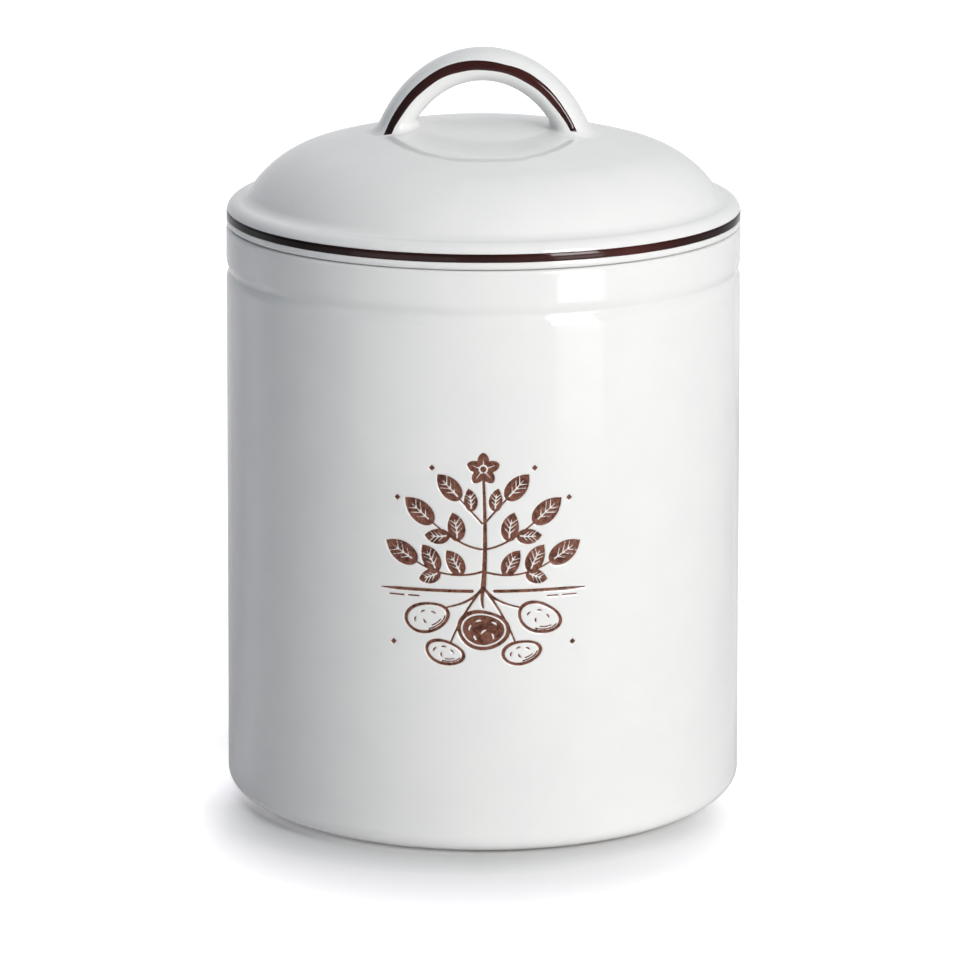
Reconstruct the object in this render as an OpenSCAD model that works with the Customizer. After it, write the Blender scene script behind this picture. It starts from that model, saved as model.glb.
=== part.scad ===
// Round storage jar for potatoes with a loose domed lid and a strap handle, in glazed ceramic.
// Millimetres, +Z up. The foot of the jar stands on z = 0 and the jar's axis is the Z axis.

/* [Jar] */
// Height of the jar without its lid
jar_h = 226.9; // [140:0.1:320]
// Outer radius of the wall at the rim
rim_r = 100; // [85:0.5:140]
// How much the outer radius grows from the rim down to the foot
wall_spread = 1.4; // [0:0.1:4]
// Thickness of the wall
wall_t = 6.5; // [4:0.1:9]
// Thickness of the floor, from the recess under it to the inside
floor_t = 7; // [4:0.1:12]
// Width of the rounding between wall and foot
corner_w = 14; // [6:0.5:20]
// Height of the rounding between wall and foot
corner_h = 9; // [4:0.5:16]
// Radius of the rounding between the inside of the wall and the floor
inner_corner_r = 10; // [4:0.5:16]
// Width of the unglazed ring that the jar stands on
foot_w = 6; // [3:0.5:12]
// Depth of the recess inside that ring
recess_h = 1.6; // [0.6:0.1:3]
// Radius of the rim's two edges
rim_edge_r = 1.5; // [0.5:0.1:1.9]
// Distance from the rim down to the middle of the groove below the collar
groove_drop = 16.9; // [12:0.1:40]
// Height of that groove with its soft edges
groove_h = 9.2; // [6:0.2:12]
// Depth of that groove
groove_t = 1.05; // [0.4:0.05:1.6]
// Radius of the groove's bottom
groove_low_r = 2; // [1:0.1:2.5]

/* [Lid] */
// Gap between the rim and the lid that stands on it
seat_gap = 0.3; // [0.2:0.05:0.8]
// How far the lid's edge stays inside the rim's outer radius
edge_inset = 0.1; // [-2:0.1:2]
// Height of the lid's upright edge, from its underside to the start of its upper rounding
edge_h = 4.8; // [3.5:0.1:8]
// Radius of the edge's lower rounding
edge_low_r = 1.6; // [0.5:0.1:2.5]
// Radius of the edge's upper rounding
edge_top_r = 5.1; // [2:0.1:7]
// Slope of the shoulder on the flange, in degrees
flange_slope = 6.5; // [2:0.5:20]
// Radius of the hollow between flange and dome
hollow_r = 6.4; // [3:0.1:9]
// Steepest slope of the dome, in degrees
dome_slope = 56; // [40:1:70]
// Radius of the dome's rounded shoulder
shoulder_r = 43.3; // [25:0.1:55]
// Slope where the shoulder meets the flatter crown, in degrees
crown_slope = 15.6; // [10:0.1:22]
// Thickness of the lid's shell
lid_t = 6; // [4:0.1:8]
// Gap between the lid's locating ring and the jar's mouth, all round
ring_gap = 1.5; // [0.5:0.1:3]
// Depth to which the locating ring hangs into the mouth
ring_h = 9; // [4:0.5:16]
// Radius of the locating ring's two lower edges
ring_edge_r = 1.5; // [0.5:0.1:2]

/* [Handle] */
// Half the width of the arch along its middle line, where it is widest
arch_half_w = 39.6; // [30:0.1:46]
// Height of the arch's middle line over its centre
arch_h = 48.7; // [40:0.1:60]
// Distance from the top of the crown down to the arch's centre
arch_drop = 26.1; // [16:0.1:30]
// Thickness of the strap
strap_t = 12.4; // [8:0.1:15]
// Depth of the strap at the top of the arch, from front to back
strap_d = 25; // [16:0.5:34]
// How much deeper the strap is at its feet
strap_spread = 4; // [0:0.5:8]
// Squareness of the strap's section, where 2 is a plain oval
strap_square = 2.3; // [2:0.1:4]
// Radius of the soft fillet round each foot
foot_fillet = 3; // [1:0.1:4]
// Thickness of the line of slip that joins the feet to the dome
slip_t = 0.03; // [0.02:0.01:0.2]
// Turn of the lid and its handle in the mouth, in degrees, from square to the front
lid_turn = -3; // [-180:1:180]

/* [Coloured lines] */
// Width of the line round the lid's edge
edge_line_w = 3.2; // [1:0.1:3.6]
// Height of that line's lower side over the lid's underside
edge_line_rise = 2.9; // [1.6:0.1:4]
// Thickness of the line round the lid's edge
edge_line_t = 0.4; // [0.2:0.1:1]
// Thickness of the lines on the handle
strap_line_t = 0.2; // [0.1:0.05:0.5]
// Place of the handle line's outer side at the top, in degrees round the section from its outside
line_out_top = 63; // [45:1:75]
// The same at the feet, in degrees
line_out_foot = 75; // [50:1:80]
// Place of the handle line's inner side, in degrees round the section from its outside
line_in = 91; // [85:1:110]

/* [Hidden] */

// Smoothness of the turned pieces
$fn = 180;
glaze_white = [0.95, 0.95, 0.94];
line_brown = [0.17, 0.06, 0.05];

// Points of an arc round [x, z] from angle a0 to a1, in degrees, in n steps.
// With h given the arc is part of an ellipse that is r wide and h high.
function arc(x, z, r, a0, a1, n, h = 0) =
    [for (i = [0:n])
        let (a = a0 + (a1 - a0) * i / n)
        [x + r * cos(a), z + (h == 0 ? r : h) * sin(a)]];

// Outer and inner radius of the jar's wall at a height
function wall_out(z) = rim_r + wall_spread * (1 - z / jar_h);
function wall_in(z) = wall_out(z) - wall_t;

floor_z = recess_h + floor_t;
foot_out = wall_out(0) - corner_w;
foot_in = foot_out - foot_w;
foot_edge = recess_h / 2;
mouth_r = wall_in(jar_h);

// The groove is a chain of three arcs that meet smoothly: a soft edge, the bottom and the other
// soft edge. It starts and ends along the wall, which leans inwards a little.
groove_z = jar_h - groove_drop;
wall_lean = atan(wall_spread / jar_h);
groove_turn = 2 * atan(2 * groove_t / groove_h);
groove_sum_r = groove_h / 2 / sin(groove_turn);
groove_edge_r = groove_sum_r - groove_low_r;
groove_start = groove_z - groove_h / 2 * cos(wall_lean);
function turned(r, a) = [r * cos(a), r * sin(a)];
groove_a = [wall_out(groove_start), groove_start] - turned(groove_edge_r, wall_lean);
groove_b = groove_a + turned(groove_sum_r, wall_lean + groove_turn);
groove_c = groove_b - turned(groove_sum_r, wall_lean - groove_turn);

function jar_outline() = concat(
    [[0, floor_z], [0, recess_h], [foot_in - recess_h, recess_h]],
    arc(foot_in + foot_edge, foot_edge, foot_edge, 180, 270, 4),
    arc(foot_out, corner_h, corner_w, 270, 360, 24, corner_h),
    arc(groove_a.x, groove_a.y, groove_edge_r, wall_lean, wall_lean + groove_turn, 6),
    arc(groove_b.x, groove_b.y, groove_low_r, 180 + wall_lean + groove_turn,
        180 + wall_lean - groove_turn, 8),
    arc(groove_c.x, groove_c.y, groove_edge_r, wall_lean - groove_turn, wall_lean, 6),
    arc(rim_r - rim_edge_r, jar_h - rim_edge_r, rim_edge_r, 0, 90, 6),
    arc(mouth_r + rim_edge_r, jar_h - rim_edge_r, rim_edge_r, 90, 180, 6),
    arc(wall_in(floor_z + inner_corner_r) - inner_corner_r, floor_z + inner_corner_r,
        inner_corner_r, 360, 270, 14)
);

module jar() {
    color(glaze_white)
        rotate_extrude()
            polygon(jar_outline());
}

// The lid's outside is a chain of arcs that meet smoothly, worked out from the edge inwards
seat_z = jar_h + seat_gap;
lid_r = rim_r - edge_inset;
edge_z = seat_z + edge_h;
flange_x = lid_r - edge_top_r;
hollow_x = flange_x + (edge_top_r + hollow_r) * sin(flange_slope);
hollow_z = edge_z + (edge_top_r + hollow_r) * cos(flange_slope);
shoulder_x = hollow_x - (hollow_r + shoulder_r) * sin(dome_slope);
shoulder_z = hollow_z - (hollow_r + shoulder_r) * cos(dome_slope);
crown_x = shoulder_x + shoulder_r * sin(crown_slope);
crown_r = crown_x / sin(crown_slope);
crown_z = shoulder_z + shoulder_r * cos(crown_slope) - crown_r * cos(crown_slope);
lid_top = crown_z + crown_r;
ring_out = mouth_r - ring_gap;
ring_in = shoulder_x + (shoulder_r - lid_t) * sin(dome_slope);
ring_z = seat_z - ring_h;

// The inside follows the outside at the shell's thickness and runs down into the locating ring
function lid_outline() = concat(
    arc(0, crown_z, crown_r, 90, 90 - crown_slope, 14),
    arc(shoulder_x, shoulder_z, shoulder_r, 90 - crown_slope, 90 - dome_slope, 18),
    arc(hollow_x, hollow_z, hollow_r, 270 - dome_slope, 270 - flange_slope, 10),
    arc(flange_x, edge_z, edge_top_r, 90 - flange_slope, 0, 12),
    arc(lid_r - edge_low_r, seat_z + edge_low_r, edge_low_r, 0, -90, 6),
    [[ring_out, seat_z]],
    arc(ring_out - ring_edge_r, ring_z + ring_edge_r, ring_edge_r, 0, -90, 5),
    arc(ring_in + ring_edge_r, ring_z + ring_edge_r, ring_edge_r, -90, -180, 5),
    arc(shoulder_x, shoulder_z, shoulder_r - lid_t, 90 - dome_slope, 90 - crown_slope, 14),
    arc(0, crown_z, crown_r - lid_t, 90 - crown_slope, 90, 14)
);

// The strip of the lid's edge that carries the coloured line
module edge_line_zone() {
    translate([lid_r - edge_line_t, seat_z + edge_line_rise])
        square([2 * edge_line_t, edge_line_w]);
}

module lid() {
    color(glaze_white)
        rotate_extrude()
            difference() {
                polygon(lid_outline());
                edge_line_zone();
            }
}

module edge_line() {
    color(line_brown)
        rotate_extrude()
            intersection() {
                polygon(lid_outline());
                edge_line_zone();
            }
}

// Height of the lid's outside at a distance from the axis
function dome_z(r) = r < crown_x
    ? crown_z + sqrt(pow(crown_r, 2) - pow(r, 2))
    : shoulder_z + sqrt(pow(shoulder_r, 2) - pow(min(r, hollow_x) - shoulder_x, 2));

// Height of a point over the dome
function over_dome(p) = p.z - dome_z(norm([p.x, p.y]));

// The strap's section is drawn square to the arch. Angle 0 is its outside, 90 its front
// and 180 its inside; "lift" raises the point off the section.
arch_z = lid_top - arch_drop;
function rounded(c, k) = sign(c) * pow(abs(c), 2 / k);
function arch_mid(t) = [arch_half_w * cos(t), arch_z + arch_h * sin(t)];
function arch_out(t) =
    let (v = [arch_h * cos(t), arch_half_w * sin(t)])
    v / norm(v);
function strap_point(t, a, lift = 0) =
    let (
        m = arch_mid(t),
        v = arch_out(t),
        out = (strap_t / 2 + lift) * rounded(cos(a), strap_square),
        depth = (strap_d + strap_spread * pow(cos(t), 2)) / 2 + lift
    )
    [m.x + v.x * out, -depth * rounded(sin(a), strap_square), m.y + v.y * out];

// Angles of the section's points, with the edges of the coloured line among them
steps_out = 5;
steps_line = 5;
steps_in = 7;
line_first = steps_out;
line_last = steps_out + steps_line;
front_last = steps_out + steps_line + steps_in;
ring_count = 2 * front_last;
function line_out(t) = line_out_top + (line_out_foot - line_out_top) * pow(cos(t), 2);
function front_angle(i, t) =
    i <= line_first ? line_out(t) * i / steps_out
    : i <= line_last ? line_out(t) + (line_in - line_out(t)) * (i - line_first) / steps_line
    : line_in + (180 - line_in) * (i - line_last) / steps_in;
function section_angle(i, t) =
    i <= front_last ? front_angle(i, t) : -front_angle(ring_count - i, t);

// A rail runs along the strap at one point of its section, from the crown of the arch to a foot.
// It is followed down until it is a given height over the dome.
function rail_point(i, t, lift = 0) = strap_point(t, section_angle(i, t), lift);
function rail_angle(i, height, low = 2, high = 90, n = 24) =
    n == 0
    ? (low + high) / 2
    : let (mid = (low + high) / 2)
        over_dome(rail_point(i, mid)) > height
        ? rail_angle(i, height, low, mid, n - 1)
        : rail_angle(i, height, mid, high, n - 1);

// Stations along a rail: the arch, then the fillet that spreads the foot on the dome
arch_steps = 16;
fillet_steps = 5;
fillet_turn = 78;
last_station = arch_steps + fillet_steps;
line_station = arch_steps + 1;

function fillet_height(k) =
    slip_t + foot_fillet * (1 - sin(fillet_turn * k / fillet_steps) / sin(fillet_turn));
function fillet_spread(k) = foot_fillet * (1 - cos(fillet_turn * k / fillet_steps));

// Point i of station k. Past the arch it also spreads sideways, away from the arch's middle
// line, at the fillet's own height over the dome.
function station_point(i, k, lift = 0) =
    k <= arch_steps
    ? let (end = rail_angle(i, fillet_height(0)))
        rail_point(i, 90 - (90 - end) * k / arch_steps, lift)
    : let (
        height = fillet_height(k - arch_steps),
        t = rail_angle(i, height),
        p = rail_point(i, t, lift),
        m = arch_mid(t),
        away = [p.x - m.x, p.y],
        q = [p.x, p.y] + fillet_spread(k - arch_steps) * away / norm(away)
    )
    [q.x, q.y, dome_z(norm(q)) + height + (p.z - rail_point(i, t).z)];

function mirrored(p, side) = [side * p.x, p.y, p.z];
function ring(k, first, last, lift = 0) =
    let (side = k < 0 ? -1 : 1)
    [for (i = [first:last]) mirrored(station_point(i, abs(k), lift), side)];

// The underside of a foot: rings of its last station drawn in towards the foot's middle
sole_steps = 3;
function sole_ring(side, j) =
    let (
        edge = ring(side * last_station, 0, ring_count - 1),
        mid = (edge[0] + edge[front_last]) / 2
    )
    [for (p = edge)
        let (q = mid + (p - mid) * (1 - j / sole_steps))
        [q.x, q.y, dome_z(norm([q.x, q.y])) + slip_t]];
function sole_mid(side) = sole_ring(side, sole_steps)[0];

function join_rings(a, b, n) =
    [for (i = [0:n - 1])
        let (j = (i + 1) % n)
        each [[a + i, b + i, b + j], [a + i, b + j, a + j]]];

module handle_sweep() {
    soles = [for (j = [1:sole_steps - 1]) each sole_ring(-1, sole_steps - j)];
    arch = [for (k = [-last_station:last_station]) each ring(k, 0, ring_count - 1)];
    far_soles = [for (j = [1:sole_steps - 1]) each sole_ring(1, j)];
    body = concat(soles, arch, far_soles);
    rings = len(body) / ring_count;
    points = concat(body, [sole_mid(-1), sole_mid(1)]);
    near = len(body);
    far = near + 1;
    last = (rings - 1) * ring_count;
    faces = concat(
        [for (k = [0:rings - 2]) each join_rings(k * ring_count, (k + 1) * ring_count, ring_count)],
        [for (i = [0:ring_count - 1]) [near, i, (i + 1) % ring_count]],
        [for (i = [0:ring_count - 1]) [far, last + (i + 1) % ring_count, last + i]]
    );
    polyhedron(points, faces);
}

module handle() {
    color(glaze_white)
        rotate([0, 0, lid_turn])
            handle_sweep();
}

// A coloured line lies on the strap between two rails and ends just above the dome
module line_sweep(first, last) {
    n = last - first + 1;
    count = 2 * n;
    points = [for (k = [-line_station:line_station])
        let (
            top = ring(k, first, last, strap_line_t),
            low = ring(k, first, last)
        )
        each concat(top, [for (i = [n - 1:-1:0]) low[i]])];
    rings = 2 * line_station + 1;
    end = (rings - 1) * count;
    faces = concat(
        [for (k = [0:rings - 2]) each join_rings(k * count, (k + 1) * count, count)],
        [for (i = [0:n - 2]) each [
            [i, i + 1, count - 1 - i],
            [i + 1, count - 2 - i, count - 1 - i]
        ]],
        [for (i = [0:n - 2]) each [
            [end + i + 1, end + i, end + count - 1 - i],
            [end + i + 1, end + count - 1 - i, end + count - 2 - i]
        ]]
    );
    polyhedron(points, faces);
}

module handle_line_front() {
    color(line_brown)
        rotate([0, 0, lid_turn])
            line_sweep(line_first, line_last);
}

module handle_line_back() {
    color(line_brown)
        rotate([0, 0, lid_turn])
            line_sweep(ring_count - line_last, ring_count - line_first);
}

jar();
lid();
handle();
edge_line();
handle_line_front();
handle_line_back();
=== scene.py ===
"""Looks of the round storage jar with its domed lid and strap handle.

Shapes are worked out in millimetres from the values of part.scad, and turned into metres by MM. The
two values that differ a little from it are named beside them.
"""

import math

import bpy
import numpy as np
from mathutils import Matrix, Vector


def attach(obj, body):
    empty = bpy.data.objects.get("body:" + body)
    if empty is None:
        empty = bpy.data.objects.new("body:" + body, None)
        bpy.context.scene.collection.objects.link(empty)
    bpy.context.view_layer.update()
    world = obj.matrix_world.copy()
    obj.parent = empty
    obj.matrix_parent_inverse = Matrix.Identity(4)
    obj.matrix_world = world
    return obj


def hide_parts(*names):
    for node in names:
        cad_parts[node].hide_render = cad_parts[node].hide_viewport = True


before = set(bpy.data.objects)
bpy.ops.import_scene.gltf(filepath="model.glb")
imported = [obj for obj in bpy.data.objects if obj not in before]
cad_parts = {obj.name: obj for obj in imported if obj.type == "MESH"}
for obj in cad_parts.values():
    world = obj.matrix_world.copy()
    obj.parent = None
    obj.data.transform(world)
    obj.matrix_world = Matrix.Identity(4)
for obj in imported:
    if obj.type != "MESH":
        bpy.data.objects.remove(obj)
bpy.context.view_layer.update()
MM = 0.001
SAME_POINT, ON_AXIS = 1e-4, 1e-6

# Values of part.scad
JAR_H, RIM_R, WALL_T, FLOOR_T = 226.9, 100.0, 6.5, 7.0
CORNER_W, CORNER_H, INNER_CORNER_R, FOOT_W, RECESS_H = 14.0, 9.0, 10.0, 6.0, 1.6
RIM_EDGE_R, GROOVE_DROP, GROOVE_H, GROOVE_T, GROOVE_LOW_R = 1.5, 16.9, 9.2, 1.05, 2.0
SEAT_GAP, EDGE_INSET, EDGE_H, EDGE_LOW_R, EDGE_TOP_R = 0.3, 0.1, 4.8, 1.6, 5.1
FLANGE_SLOPE, HOLLOW_R, DOME_SLOPE, SHOULDER_R, CROWN_SLOPE = 6.5, 6.4, 56.0, 43.3, 15.6
LID_T, RING_GAP, RING_H, RING_EDGE_R = 6.0, 1.5, 9.0, 1.5
ARCH_HALF_W, ARCH_H, ARCH_DROP = 39.6, 48.7, 26.1
STRAP_T, STRAP_D, STRAP_SPREAD, STRAP_SQUARE = 12.4, 25.0, 4.0, 2.3
LID_TURN = -3.0
EDGE_LINE_W, EDGE_LINE_RISE, EDGE_LINE_T = 3.2, 2.9, 0.4
LINE_OUT_TOP, LINE_OUT_FOOT, LINE_IN = 63.0, 75.0, 91.0
# 1.4 in part.scad. Here the wall stays just inside the CAD box
WALL_SPREAD = 1.36
# 3 in part.scad. Here the fillets at the handle's feet run out more softly
FOOT_FILLET = 4.0


def sind(a):
    return math.sin(math.radians(a))


def cosd(a):
    return math.cos(math.radians(a))


# Meshes
def arc(x, z, r, a0, a1, n, h=None):
    """Points of an arc round (x, z) from a0 to a1 degrees; with h it is part of an ellipse."""
    a = np.radians(np.linspace(a0, a1, n + 1))
    return np.column_stack([x + r * np.cos(a), z + (r if h is None else h) * np.sin(a)])


def chain(*parts, close=0.35):
    """One profile from several runs of points. Long straight stretches get a point near each end,
    so that their shading stays straight."""
    points = np.vstack([np.atleast_2d(p) for p in parts])
    kept = [points[0]]
    for p in points[1:]:
        if np.hypot(*(p - kept[-1])) > SAME_POINT:
            kept.append(p)
    out = [kept[0]]
    for p in kept[1:]:
        a = out[-1]
        length = np.hypot(*(p - a))
        if length > 6 * close:
            step = (p - a) / length
            out.append(a + step * close)
            out.append(p - step * close)
        out.append(p)
    return np.array(out)


def profile_normals(profile):
    """A unit normal at each point of a profile, to the right of its direction."""
    run = np.diff(profile, axis=0)
    run /= np.linalg.norm(run, axis=1)[:, None]
    side = np.column_stack([run[:, 1], -run[:, 0]])
    both = np.vstack([side[:1], side[:-1] + side[1:], side[-1:]])
    return both / np.linalg.norm(both, axis=1)[:, None]


def turned(r, z, angle):
    """Points at radius r and height z. Angles are in degrees, from the front towards +X."""
    a = np.radians(angle)
    return np.column_stack([r * np.sin(a), -r * np.cos(a), z])


def lathe(profile, count, hole=None):
    """Points, normals and faces of a profile turned round the Z axis, and the number of each row's
    first point. hole = (first row, last row, half width in columns) leaves out faces at the front."""
    normals = profile_normals(profile)
    points, directions, start = [], [], []
    total = 0
    angles = np.arange(count) * 360.0 / count
    for (r, z), (nr, nz) in zip(profile, normals):
        start.append(total)
        if r < ON_AXIS:
            points.append([[0.0, 0.0, z]])
            directions.append([[0.0, 0.0, math.copysign(1.0, nz)]])
            total += 1
        else:
            points.append(turned(np.full(count, r), np.full(count, z), angles))
            directions.append(turned(np.full(count, nr), np.full(count, nz), angles))
            total += count
    faces = []
    for i in range(len(profile) - 1):
        j = i + 1
        low_pole, high_pole = profile[i][0] < ON_AXIS, profile[j][0] < ON_AXIS
        for k in range(count):
            n = (k + 1) % count
            if hole and hole[0] <= i < hole[1] and (k < hole[2] or k >= count - hole[2]):
                continue
            if low_pole:
                faces.append((start[i], start[j] + n, start[j] + k))
            elif high_pole:
                faces.append((start[i] + k, start[i] + n, start[j]))
            else:
                faces.append((start[i] + k, start[i] + n, start[j] + n, start[j] + k))
    return np.vstack(points), np.vstack(directions), faces, start


def grid_faces(rows, columns, first=0, closed=False):
    """Quads of a grid whose points are numbered row by row. A closed grid joins its last column to
    its first."""
    faces = []
    for i in range(rows - 1):
        for k in range(columns if closed else columns - 1):
            n = (k + 1) % columns
            a, b = first + i * columns, first + (i + 1) * columns
            faces.append((a + k, a + n, b + n, b + k))
    return faces


def zipped(outer, outer_at, inner, inner_at):
    """Triangles between two lines of points, given by number, and by place along the line."""
    faces, i, j = [], 0, 0
    while i < len(outer) - 1 or j < len(inner) - 1:
        if j == len(inner) - 1 or (i < len(outer) - 1 and outer_at[i + 1] <= inner_at[j + 1]):
            faces.append((outer[i], outer[i + 1], inner[j]))
            i += 1
        else:
            faces.append((outer[i], inner[j + 1], inner[j]))
            j += 1
    return faces


def make_object(name, points, faces, normals=None, **values):
    """A smooth mesh object from points in millimetres, with its own normals and point values."""
    mesh = bpy.data.meshes.new(name)
    mesh.from_pydata((np.asarray(points) * MM).tolist(), [], faces)
    mesh.polygons.foreach_set("use_smooth", np.ones(len(mesh.polygons), bool))
    for key, value in values.items():
        mesh.attributes.new(key, "FLOAT", "POINT").data.foreach_set("value", np.asarray(value, np.float32))
    mesh.update()
    if normals is not None:
        mesh.normals_split_custom_set_from_vertices(np.asarray(normals).tolist())
    obj = bpy.data.objects.new(name, mesh)
    bpy.context.scene.collection.objects.link(obj)
    return obj


# The design on the front
# It is a potato plant, drawn as a field of distances in millimetres. FAR stands for all large
# distances, and the distance to a line is worked out up to LINE_REACH from it
FAR, LINE_REACH = 9.0, 2.5


def stroke(px, py, points):
    """Signed distance to a line through (x, y, half width) points."""
    found = np.full(px.shape, FAR)
    for (ax, ay, ra), (bx, by, rb) in zip(points, points[1:]):
        reach = LINE_REACH + max(ra, rb)
        near = (px > min(ax, bx) - reach) & (px < max(ax, bx) + reach)
        near &= (py > min(ay, by) - reach) & (py < max(ay, by) + reach)
        x, y = px[near], py[near]
        ux, uy = bx - ax, by - ay
        t = np.clip(((x - ax) * ux + (y - ay) * uy) / (ux * ux + uy * uy + 1e-12), 0, 1)
        away = np.hypot(x - ax - t * ux, y - ay - t * uy)
        found[near] = np.minimum(found[near], away - ra - t * (rb - ra))
    return found


def bend(a, b, c, w0, w1, n=14, swell=0.0):
    """Points of a quadratic curve with a half width from w0 to w1, and wider by swell half way."""
    t = np.linspace(0, 1, n + 1)
    x = (1 - t) ** 2 * a[0] + 2 * t * (1 - t) * b[0] + t * t * c[0]
    y = (1 - t) ** 2 * a[1] + 2 * t * (1 - t) * b[1] + t * t * c[1]
    return list(zip(x, y, w0 + (w1 - w0) * t + swell * np.sin(math.pi * t)))


def leaf(px, py, base, tip, half, curve):
    """A pointed leaf with its midrib and side veins left clear."""
    steps, midrib_steps, vein_steps = 22, 17, (4, 8, 12)
    vein_on, vein_out = 0.75, 0.72
    dx, dy = tip[0] - base[0], tip[1] - base[1]
    middle = (base[0] + dx / 2 - dy * curve, base[1] + dy / 2 + dx * curve)
    rib = bend(base, middle, tip, 0, 0, steps)
    # The outline's curve has 0.287 as its highest value, so half is the leaf's largest half width
    share = [i / steps for i in range(steps + 1)]
    wide = [half * s**0.7 * (1 - s) ** 1.2 / 0.287 + 0.08 for s in share]
    body = stroke(px, py, [(x, y, w) for (x, y, _), w in zip(rib, wide)])
    vein = stroke(px, py, [(x, y, 0.32 - 0.012 * i) for i, (x, y, _) in enumerate(rib[:midrib_steps])])
    for i in vein_steps:
        x, y, _ = rib[i]
        run = np.subtract(rib[i + 1][:2], rib[i][:2])
        ux, uy = run / np.hypot(*run)
        for side in (-1, 1):
            end_x = x + wide[i] * (vein_on * ux - vein_out * side * uy)
            end_y = y + wide[i] * (vein_on * uy + vein_out * side * ux)
            vein = np.minimum(vein, stroke(px, py, [(x, y, 0.2), (end_x, end_y, 0.1)]))
    return np.maximum(body, -vein)


def spray(px, py, base, middle, tip, leaflets):
    """A leaf stalk with its leaflets: (place along it, side, length, half width, lean in degrees)."""
    steps, root_gap = 20, 0.8
    stalk = bend(base, middle, tip, 0.42, 0.3, steps)
    found = stroke(px, py, stalk)
    for place, side, length, half, lean in leaflets:
        i = int(place * steps)
        x, y, _ = stalk[i]
        a = math.atan2(stalk[i + 1][1] - y, stalk[i + 1][0] - x) + side * math.radians(lean)
        root, end = ((x + d * math.cos(a), y + d * math.sin(a)) for d in (root_gap, length))
        found = np.minimum(found, stroke(px, py, [(x, y, 0.34), (*root, 0.3)]))
        found = np.minimum(found, leaf(px, py, root, end, half, 0.1 * side))
    return found


def tuber(px, py, x, y, a, b, turn, eyes, solid):
    """A potato: an uneven oval, solid with a clear inner line, or drawn in outline with shading.
    eyes are small bent lines: (place across, place up, half length, tilt in degrees)."""
    line_depth, line_half, outline_half, shade_half = 1.75, 0.32, 0.6, 0.26
    c, s = cosd(turn), sind(turn)
    qx, qy = (px - x) * c + (py - y) * s, -(px - x) * s + (py - y) * c
    angle = np.arctan2(qy / b, qx / a)
    uneven = 1 + 0.045 * np.cos(2 * angle + 0.9) + 0.035 * np.cos(3 * angle - 0.5)
    k = np.hypot(qx / a, qy / b) / uneven
    body = (k - 1) * np.maximum(k, 1e-3) / np.maximum(np.hypot(qx / a**2, qy / b**2), 1e-4)
    marks = np.full(px.shape, FAR)
    for ex, ey, half, tilt in eyes:
        middle = np.array([ex * a, ey * b])
        along, across = np.array([[cosd(tilt), sind(tilt)], [-sind(tilt), cosd(tilt)]])
        top = middle + 0.5 * half * across
        line = bend(middle - half * along, top, middle + half * along, 0.15, 0.15, 8, 0.2)
        marks = np.minimum(marks, stroke(qx, qy, line))
    if solid:
        return np.maximum(body, -np.minimum(marks, np.abs(body + line_depth) - line_half))
    # Two short lines inside the outline shade it at the lower right
    for depth, a0, a1 in ((1.7, -95, -10), (2.7, -80, -25)):
        inside = (np.degrees(angle) > a0) & (np.degrees(angle) < a1)
        marks = np.minimum(marks, np.where(inside, np.abs(body + depth) - shade_half, FAR))
    return np.minimum(np.abs(body + outline_half) - outline_half, marks)


def flower(px, py, x, y, r):
    """A flower with five petals and an open middle."""
    petal_count, open_r, middle_r, vein_share = 5, 1.75, 1.15, 0.72
    petals, clear = np.full(px.shape, FAR), np.full(px.shape, FAR)
    for i in range(petal_count):
        a = 90 + i * 360 / petal_count
        ux, uy = r * cosd(a), r * sind(a)
        line = bend((x, y), (x + ux / 2, y + uy / 2), (x + ux, y + uy), 0.3, 0.15, 10, 0.36 * r - 0.22)
        petals = np.minimum(petals, stroke(px, py, line))
        vein = [(x, y, 0.26), (x + vein_share * ux, y + vein_share * uy, 0.1)]
        clear = np.minimum(clear, stroke(px, py, vein))
    hub = np.hypot(px - x, py - y)
    return np.minimum(np.maximum(petals, -np.minimum(clear, hub - open_r)), hub - middle_r)


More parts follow.
